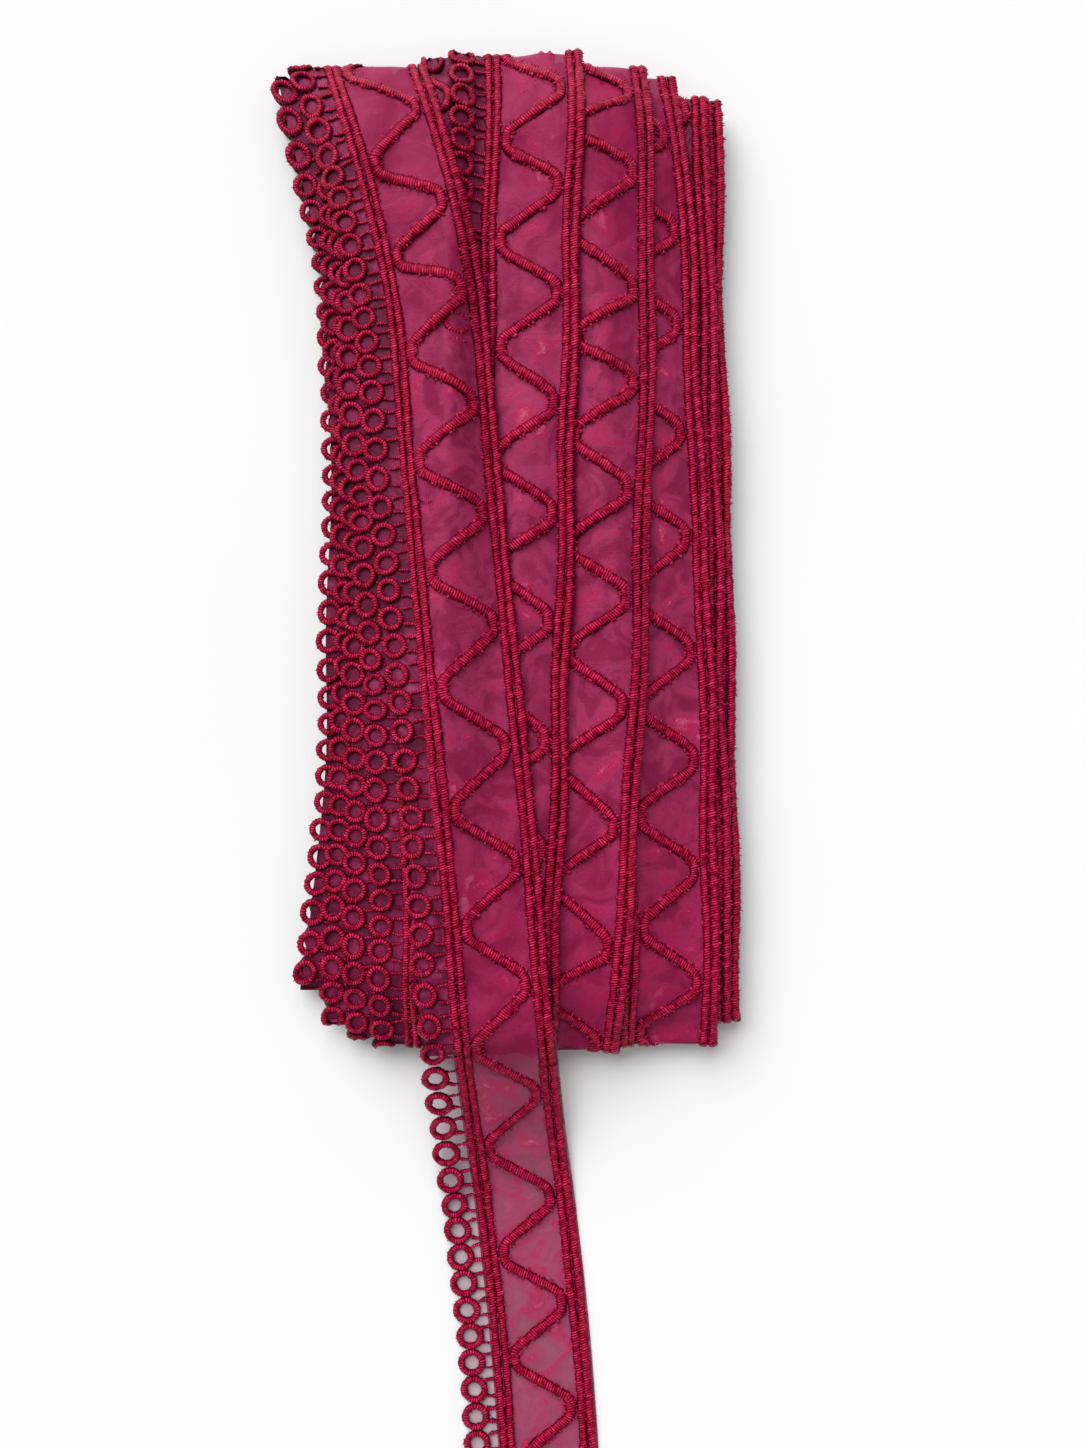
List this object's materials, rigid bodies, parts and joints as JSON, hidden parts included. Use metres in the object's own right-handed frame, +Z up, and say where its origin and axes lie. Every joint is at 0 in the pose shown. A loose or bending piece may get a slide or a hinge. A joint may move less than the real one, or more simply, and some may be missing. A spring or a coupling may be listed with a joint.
{
  "type": "eyelet lace trim hank",
  "caption": "Sheer embroidered lace trim with a ringed edge and a satin zigzag, wound in a flat fanned hank with one loose end.",
  "frame": {"origin": "middle of the flat underside of the wound hank, on the surface that it lies on", "axes": "+Y along the turns of the hank, away from the loose end; +Z up; +X to the side of the band's plain edge"},
  "size_m": [0.132, 0.4118, 0.0241],
  "materials": {
    "organza": "sheer woven organza with embroidery",
    "satin_thread": "satin stitched cord and rings"
  },
  "bodies": {
    "root": {"hank": "organza", "loose_end": "satin_thread"}
  },
  "joints": []
}
